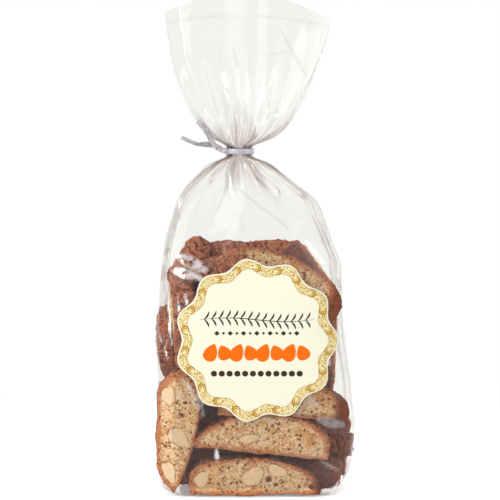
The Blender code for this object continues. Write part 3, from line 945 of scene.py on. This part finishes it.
def film_ring(height, count):
    """One ring of the film with its folds, in metres."""
    section = section_at(height)
    centre = (section.left + section.right) / 2
    half = (section.right - section.left) / 2
    x, y = even_ring(section, count)
    share = np.arange(count) / count
    away = abs(height - NECK)
    above = height > NECK
    tangent_x, tangent_y = np.roll(x, -1) - np.roll(x, 1), np.roll(y, -1) - np.roll(y, 1)
    size = np.hypot(tangent_x, tangent_y) + 1e-9
    normal_x, normal_y = tangent_y / size, -tangent_x / size
    depth = np.zeros(count)
    for fold in FOLDS:
        grown = 1.0 if fold.full <= fold.start else float(step(fold.start, fold.full, away))
        strength = fold.depth * grown * (1 - float(step(fold.full, fold.fade, away)))
        turn = 2 * pi * fold.count * share + fold.phase + (0.9 if above else 0)
        drift = 0.8 * np.sin(2 * pi * share * 3 + fold.phase * 5)
        uneven = 0.65 + 0.35 * np.sin(2 * pi * share * 2 + fold.count)
        depth += strength * uneven * np.sin(turn + drift)
    room = min(half, section.depth) * 0.55
    depth = np.clip(depth, -room, room) - 2.0 * (1 - float(step(3, 7, away)))
    x, y = x + normal_x * depth, y + normal_y * depth
    fan = float(step(188, 232, height))
    across = x / half
    for count_across, tall, phase in FAN_WAVES:
        y = y + fan * tall * np.sin(pi * count_across * across / 2 + phase)
    z = height + section.rise * (1 - np.clip(across, -1, 1) ** 2) - fan * FAN_TILT * across
    return np.column_stack((x + centre, y, z)) * MM


def film_heights(rows):
    """Heights of the rings, closer together near the neck."""
    even = np.linspace(0, HEIGHTS[-1], 2000)
    dense = 1 + 2.2 * np.exp(-((even - NECK) / 16) ** 2)
    total = np.concatenate(([0], np.cumsum((dense[1:] + dense[:-1]) / 2)))
    return np.interp(np.linspace(0, total[-1], rows), total, even)


def label_distance(points):
    """Distance of each point from the label's middle across the front, in metres, far for the back."""
    distance = np.hypot(points[:, 0] - PRINT_MIDDLE.x, points[:, 2] - PRINT_MIDDLE.z)
    return np.where(points[:, 1] < 0, distance, 1.0)


class BISCUITBAG_OT_film(bpy.types.Operator):
    """Model the clear film bag"""
    bl_idname = "biscuitbag.film"
    bl_label = "Film"

    def execute(self, context):
        values = context.scene.film_values
        columns, rows = values.columns, values.rows
        deselect()
        bpy.ops.mesh.primitive_grid_add(x_subdivisions=columns, y_subdivisions=rows + BASE_ROWS - 1, size=1,
                                        calc_uvs=True)
        item = added("bag_film")
        item.data.uv_layers[0].name = "film_map"
        grid = coordinates(item)
        order = np.lexsort((grid[:, 0], np.round(grid[:, 1], 6)))
        rings = [film_ring(height, columns) for height in film_heights(rows)]
        foot = rings[0]
        middle = np.array((foot[:, 0].mean(), 0, 0))
        base = [middle + (foot - middle) * max(k, 0.02) / BASE_ROWS for k in range(BASE_ROWS)]
        stack = np.vstack([np.vstack((ring, ring[:1])) for ring in base + rings])
        placed = np.empty_like(grid)
        placed[order] = stack
        set_coordinates(item, placed)
        choose(item)
        bpy.ops.object.mode_set(mode="EDIT")
        bpy.ops.mesh.select_all(action="SELECT")
        bpy.ops.mesh.remove_doubles(threshold=0.00002)
        bpy.ops.mesh.normals_make_consistent(inside=False)
        bpy.ops.object.mode_set(mode="OBJECT")
        points = coordinates(item)
        free = step(*LABEL_CLEAR, label_distance(points)) * step(*BASE_CLEAR, points[:, 2])
        free *= step(*NECK_CLEAR, np.abs(points[:, 2] - NECK * MM))
        group = weigh(item, "free", free)
        creases = noise_texture("creases", "VORONOI", 0.030, distance_metric="DISTANCE", weight_1=-1.0,
                                weight_2=1.0, noise_intensity=1.0)
        soft = noise_texture("soft", "CLOUDS", 0.022, noise_depth=1)
        apply_modifier(item, "creases", "DISPLACE", texture=creases, texture_coords="LOCAL",
                       strength=values.crease_height * 1.4, mid_level=0.4, vertex_group=group)
        apply_modifier(item, "soft", "DISPLACE", texture=soft, texture_coords="LOCAL",
                       strength=values.crease_height, mid_level=0.5, vertex_group=group)
        item.vertex_groups.clear()
        around = np.arctan2(points[:, 1], points[:, 0] / 2 + 4.5 * MM)
        reach = GATHER_REACH * (0.85 + 0.35 * np.sin(4 * around + 1) + 0.25 * np.sin(11 * around + 2))
        away = np.abs(points[:, 2] / MM - NECK)
        store(item, "gather", np.exp(-(away / reach) ** 2))
        # painted highlights along the glints, painted shade along the creases
        store(item, "glint", marked(points, GLINTS))
        store(item, "crease", np.maximum(marked(points, CREASES), hem_line(points)))
        item.data.shade_smooth()
        item.data.materials.append(film_material(values))
        ride(item, "film", "bag")
        return {"FINISHED"}


# -------------------------------------------------------------------------------------------------- label

FIRST_LOBE = radians(98)
PRINT_LIFT = 0.05 * MM      # each layer of print over the one below
PRINT_MIDDLE = Vector((0.4, 0, 83.5)) * MM      # the middle of the label and of its print


def outline_radius(values, angle, inset=0.0):
    """Radius of the scalloped edge in one direction, or of a line inset from it."""
    return values.radius - inset + values.scallop * np.cos(values.lobes * (angle - FIRST_LOBE))


def flat_mesh(name, points, faces):
    """A flat shape in the label's plane, from x and z in metres from the label's middle."""
    data = bpy.data.meshes.new(name)
    start = PRINT_MIDDLE + Vector((0, LABEL_LOW.y - 0.01, 0))
    data.from_pydata([start + Vector((x, 0, z)) for x, z in points], [], faces)
    item = bpy.data.objects.new(name, data)
    bpy.context.scene.collection.objects.link(item)
    return item


def strip(first, second, closed=True):
    """Points and faces between two lines of points of the same length."""
    count = len(first)
    points = list(first) + list(second)
    faces = [(i, (i + 1) % count, count + (i + 1) % count, count + i)
             for i in range(count if closed else count - 1)]
    return points, faces


def gathered(shapes):
    """Several sets of points and faces as one."""
    points, faces = [], []
    for shape_points, shape_faces in shapes:
        start = len(points)
        points += list(shape_points)
        faces += [tuple(index + start for index in face) for face in shape_faces]
    return points, faces


def disc(x, z, radius, corners=10, stretch=1.0, turn=0.0):
    """A filled ellipse."""
    points = []
    for i in range(corners):
        angle = 2 * pi * i / corners
        u, v = radius * cos(angle), radius * stretch * sin(angle)
        points.append((x + u * cos(turn) - v * sin(turn), z + u * sin(turn) + v * cos(turn)))
    return points, [tuple(range(corners))]


def line(points, width, taper=False):
    """A drawn line of the given width through points."""
    left, right = [], []
    for i, (x, z) in enumerate(points):
        ahead = points[min(i + 1, len(points) - 1)]
        behind = points[max(i - 1, 0)]
        dx, dz = ahead[0] - behind[0], ahead[1] - behind[1]
        size = hypot(dx, dz) or 1
        half = width / 2
        if taper:
            half *= 0.25 + 0.75 * sin(pi * (i + 0.5) / len(points))
        left.append((x - dz / size * half, z + dx / size * half))
        right.append((x + dz / size * half, z - dx / size * half))
    return strip(left, right, closed=False)


def printed(name, shapes, layer, colour, slot):
    """Lay flat shapes on the label as a thin layer of print."""
    item = flat_mesh(name, *gathered(shapes))
    apply_modifier(item, "lay_on", "SHRINKWRAP", target=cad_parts["label"], wrap_method="PROJECT",
                   use_project_y=True, use_positive_direction=True, use_negative_direction=False,
                   offset=layer * PRINT_LIFT, wrap_mode="ABOVE_SURFACE")
    points = coordinates(item)
    missed = points[:, 1] < LABEL_LOW.y - 0.001
    for index in np.nonzero(missed)[0]:
        away = np.hypot(points[:, 0] - points[index, 0], points[:, 2] - points[index, 2]) + missed
        points[index, 1] = points[np.argmin(away), 1]
    set_coordinates(item, points)
    mesh = bmesh.new()
    mesh.from_mesh(item.data)
    bmesh.ops.reverse_faces(mesh, faces=[face for face in mesh.faces if face.normal.y > 0])
    mesh.to_mesh(item.data)
    mesh.free()
    item.data.shade_smooth()
    item.data.materials.append(paper_material(name, colour))
    ride(item, slot)
    return item


def band_shape(values, inset_out, inset_in, per_lobe=32, steps=6):
    """A band that follows the scalloped edge."""
    count = values.lobes * per_lobe
    angles = [2 * pi * i / count for i in range(count)]
    insets = np.linspace(inset_in, inset_out, steps + 1)
    lines = [[(outline_radius(values, a, inset) * cos(a), outline_radius(values, a, inset) * sin(a))
              for a in angles] for inset in insets]
    return gathered([strip(inner, outer) for inner, outer in zip(lines, lines[1:])])


def on_lace(values, angle, inward):
    """A point in the lace border and the direction that runs along it."""
    radius = outline_radius(values, angle, values.margin + inward)
    ahead = outline_radius(values, angle + 0.01, values.margin + inward)
    here = Vector((radius * cos(angle), radius * sin(angle)))
    there = Vector((ahead * cos(angle + 0.01), ahead * sin(angle + 0.01)))
    return here, (there - here).normalized()


def lace_shapes(values):
    """Gold lace: a double curl twice in each lobe, a line of dots at each edge and dots scattered between."""
    rng = np.random.default_rng(SEED)
    shapes = []
    curls = values.lobes * 2
    for k in range(curls):
        angle = FIRST_LOBE + 2 * pi * (k + 0.5) / curls
        here, along = on_lace(values, angle, values.lace * 0.5)
        turn = atan2(along.y, along.x)
        for reach, thick in ((1.85 * MM, 0.85 * MM), (0.85 * MM, 0.65 * MM)):
            arc = []
            for i in range(17):
                a = turn + pi * 0.15 + 1.75 * pi * i / 16
                arc.append((here.x + reach * cos(a), here.y + reach * sin(a)))
            shapes.append(line(arc, thick, taper=True))
        for ahead in (-2.6 * MM, 2.6 * MM):
            shapes.append(disc(here.x + along.x * ahead, here.y + along.y * ahead, 0.6 * MM, 8, 0.6, turn))
    placed = []
    around = 2 * pi * values.radius
    for inward in (0.25 * MM, values.lace - 0.25 * MM):
        count = int(around / (0.95 * MM))
        for i in range(count):
            here, _ = on_lace(values, 2 * pi * i / count, inward)
            shapes.append(disc(here.x, here.y, 0.30 * MM, 6))
    for _ in range(5000):
        angle, inward = rng.uniform(0, 2 * pi), rng.uniform(0.8 * MM, values.lace - 0.8 * MM)
        here, _ = on_lace(values, angle, inward)
        nearest = (angle - FIRST_LOBE) / (2 * pi / curls) % 1 - 0.5
        clear = abs(nearest) * 2 * pi / curls * values.radius > 2.2 * MM
        if clear and all((here - other).length > 0.85 * MM for other in placed):
            placed.append(here)
            shapes.append(disc(here.x, here.y, rng.uniform(0.30, 0.44) * MM, 6))
    return shapes


def almond_shape(x, z, length, width, turn, corners=22):
    """A filled almond outline with one pointed end."""
    points = []
    for i in range(corners):
        angle = 2 * pi * i / corners
        u = cos(angle) * length / 2
        v = sin(angle) * width / 2 * (1 - 0.35 * cos(angle)) * (1 - 0.25 * max(cos(angle), 0) ** 3)
        points.append((x + u * cos(turn) - v * sin(turn), z + u * sin(turn) + v * cos(turn)))
    return points, [tuple(range(corners))]


def orange_row():
    """A row of orange almonds across the label's middle."""
    shapes = []
    for k in range(8):
        tall, turn = (9.8, 66) if k % 2 == 0 else (8.2, 114)
        shapes.append(almond_shape((k - 3.5) * 6.9 * MM, -6.3 * MM, tall * MM, 6.9 * MM, radians(turn)))
    return shapes


def sprig_shapes():
    """A thin sprig above the orange row: a stem with paired narrow leaves."""
    shapes = []
    stem = [((-30 + 60 * i / 24) * MM, (11.0 + 1.0 * sin(pi * i / 12)) * MM) for i in range(25)]
    shapes.append(line(stem, 0.45 * MM, taper=True))
    for k in range(15):
        share = (k + 0.5) / 15
        x, z = (-29.5 + 57 * share) * MM, (11.0 + 1.0 * sin(2 * pi * share)) * MM
        for side in (1, -1):
            tip = (x + 2.4 * MM, z + side * 4.0 * MM)
            leaf = [(x + (tip[0] - x) * t + 0.5 * MM * sin(pi * t), z + (tip[1] - z) * t)
                    for t in np.linspace(0, 1, 8)]
            shapes.append(line(leaf, 0.95 * MM, taper=True))
    return shapes


def rule_shapes():
    """A row of small diamonds under the sprig and a row of lozenges under the orange row."""
    shapes = []
    for k in range(13):
        shapes.append(disc((k - 6) * 3.5 * MM, 3.9 * MM, (1.45 if k % 2 == 0 else 0.9) * MM, 4, 0.9))
    for k in range(12):
        shapes.append(disc((k - 5.5) * 4.1 * MM, -17.4 * MM, 1.65 * MM, 12, 0.95))
    return shapes


class BISCUITBAG_OT_label(bpy.types.Operator):
    """Finish the label and model its print"""
    bl_idname = "biscuitbag.label"
    bl_label = "Label and print"

    def execute(self, context):
        values = context.scene.label_values
        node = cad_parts["label"]
        node.data.materials.clear()
        node.data.materials.append(paper_material("label_paper", values.paper))
        inner = values.margin + values.lace
        printed("label_band", [band_shape(values, values.margin, inner)], 1, values.lace_base, "label_gold")
        printed("label_lace", lace_shapes(values), 4, values.gold, "label_gold")
        printed("label_almonds", orange_row(), 1, values.orange, "label_orange")
        printed("label_sprig", sprig_shapes() + rule_shapes(), 1, values.brown, "label_brown")
        return {"FINISHED"}


# ---------------------------------------------------------------------------------------------------- tie

class BISCUITBAG_OT_tie(bpy.types.Operator):
    """Finish the twist tie"""
    bl_idname = "biscuitbag.tie"
    bl_label = "Twist tie"

    def execute(self, context):
        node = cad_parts["twist_tie"]
        node.data.materials.clear()
        node.data.materials.append(tie_material(context.scene.tie_values))
        return {"FINISHED"}


# -------------------------------------------------------------------------------------------------- stage

LAMPS = (                   # name, place, size, power in watts
    ("key", (-0.95, -1.10, 0.85), (1.30, 1.30), 13.5),
    ("fill", (1.10, -1.00, 0.50), (1.20, 1.20), 5.2),
    ("top", (0.00, 0.10, 1.30), (1.20, 0.80), 4.2),
    ("left_strip", (-0.62, -0.35, 0.20), (0.05, 0.70), 0.9),
    ("right_strip", (0.60, 0.15, 0.22), (0.06, 0.60), 0.9),
)
WORLD_LIGHT = 0.53
NEAR_GLOW = 0.50            # how much the floor near the bag glows for the camera and for gloss
FLOOR_DROP = 0.2 * MM       # from the bag's base down to the floor
AIM = Vector((-0.0032, LABEL_LOW.y, 0.1313))    # what the camera looks at


def add_lamp(name, place, size, power, target):
    """A soft white area lamp that faces the bag."""
    data = bpy.data.lights.new(name, "AREA")
    data.shape = "RECTANGLE"
    data.size, data.size_y = size
    data.energy = power
    lamp = bpy.data.objects.new(name, data)
    bpy.context.scene.collection.objects.link(lamp)
    lamp.location = place
    lamp.rotation_euler = (target - Vector(place)).to_track_quat("-Z", "Y").to_euler()


def seen_share(n):
    """1 for rays that look at the background: from the camera, off gloss or through glass."""
    path = n.add("ShaderNodeLightPath")
    first = n.math("MAXIMUM", path.outputs["Is Camera Ray"], path.outputs["Is Glossy Ray"])
    return n.math("MAXIMUM", first, path.outputs["Is Transmission Ray"])


def floor_material(values):
    """Pale floor that reads as white but keeps the bag's shadow near it."""
    material, n, shader = new_material("pale_floor")
    speckle = n.between(n.noise(60, 2), 0.3, 0.7, 0.985, 1.0)
    n.put(shader, Base_Color=n.mix(speckle, (0.85, 0.85, 0.85, 1), values.floor), Roughness=0.9)
    shader.inputs["Specular IOR Level"].default_value = 0.1
    seen = seen_share(n)
    distance = n.add("ShaderNodeVectorMath", operation="LENGTH")
    n.link(n.place(), distance.inputs[0])
    far = n.between(distance.outputs["Value"], 0.10, 0.45)
    glow = n.add("ShaderNodeEmission")
    n.put(glow, Color=(1, 1, 1, 1), Strength=1.0)
    near_glow = n.add("ShaderNodeEmission")
    n.put(near_glow, Color=(1, 1, 1, 1), Strength=n.math("MULTIPLY", seen, NEAR_GLOW))
    total = n.add("ShaderNodeAddShader")
    chosen = n.add("ShaderNodeMixShader")
    n.link(shader.outputs[0], total.inputs[0])
    n.link(near_glow.outputs[0], total.inputs[1])
    n.link(n.math("MULTIPLY", seen, far), chosen.inputs[0])
    n.link(total.outputs[0], chosen.inputs[1])
    n.link(glow.outputs[0], chosen.inputs[2])
    n.link(chosen.outputs[0], material.node_tree.nodes["Material Output"].inputs["Surface"])
    return material


class BISCUITBAG_OT_stage(bpy.types.Operator):
    """Set up the floor, the lamps, the background and the camera"""
    bl_idname = "biscuitbag.stage"
    bl_label = "Stage"

    def execute(self, context):
        values = context.scene.stage_values
        scene = context.scene
        deselect()
        bpy.ops.mesh.primitive_plane_add(size=8, location=(0, 0, -FLOOR_DROP))
        floor = added("floor")
        apply_place(floor)
        floor.data.materials.append(floor_material(values))
        middle = Vector((0, 0, (BAG_LOW.z + BAG_HIGH.z) / 2))
        for name, place, size, power in LAMPS:
            add_lamp(name, place, size, power, middle)
        world = bpy.data.worlds.new("studio")
        scene.world = world
        world.use_nodes = True
        n = Nodes(world.node_tree)
        background = world.node_tree.nodes["Background"]
        level = n.math("MAXIMUM", seen_share(n), WORLD_LIGHT)
        n.put(background, Color=(1, 1, 1, 1), Strength=level)
        scene.view_settings.view_transform = "Standard"
        scene.cycles.transparent_max_bounces = 48
        data = bpy.data.cameras.new("camera")
        data.sensor_width = 36
        data.lens = 36 * values.distance / values.view_width
        data.clip_end = 20
        camera = bpy.data.objects.new("camera", data)
        scene.collection.objects.link(camera)
        back = Vector((0, -cos(values.elevation), sin(values.elevation)))
        camera.location = AIM + back * values.distance
        camera.rotation_euler = (-back).to_track_quat("-Z", "Y").to_euler()
        scene.camera = camera
        return {"FINISHED"}


# -------------------------------------------------------------------------------------------------- panel

OPERATORS = (BISCUITBAG_OT_stage, BISCUITBAG_OT_biscuits, BISCUITBAG_OT_film, BISCUITBAG_OT_label,
             BISCUITBAG_OT_tie)


class BISCUITBAG_PT_panel(bpy.types.Panel):
    """Values and operators of the biscuit bag"""
    bl_label = "Biscuit bag"
    bl_idname = "BISCUITBAG_PT_panel"
    bl_space_type = "VIEW_3D"
    bl_region_type = "UI"
    bl_category = "Biscuit bag"

    def draw(self, context):
        for operator in OPERATORS:
            self.layout.operator(operator.bl_idname)
        for name, group in GROUPS.items():
            box = self.layout.box()
            box.label(text=group.__doc__)
            for key in group.__annotations__:
                box.prop(getattr(context.scene, name), key)


def register():
    """Register the classes and the values."""
    for group in (*GROUPS.values(), *OPERATORS, BISCUITBAG_PT_panel):
        bpy.utils.register_class(group)
    for name, group in GROUPS.items():
        setattr(bpy.types.Scene, name, bpy.props.PointerProperty(type=group))


def unregister():
    """Undo what register does."""
    for name in GROUPS:
        delattr(bpy.types.Scene, name)
    for group in (BISCUITBAG_PT_panel, *OPERATORS, *GROUPS.values()):
        bpy.utils.unregister_class(group)


def main():
    """Make every piece and the stage."""
    register()
    bpy.ops.biscuitbag.stage()
    bpy.ops.biscuitbag.biscuits()
    bpy.ops.biscuitbag.film()
    bpy.ops.biscuitbag.label()
    bpy.ops.biscuitbag.tie()


if __name__ == "__main__":
    main()
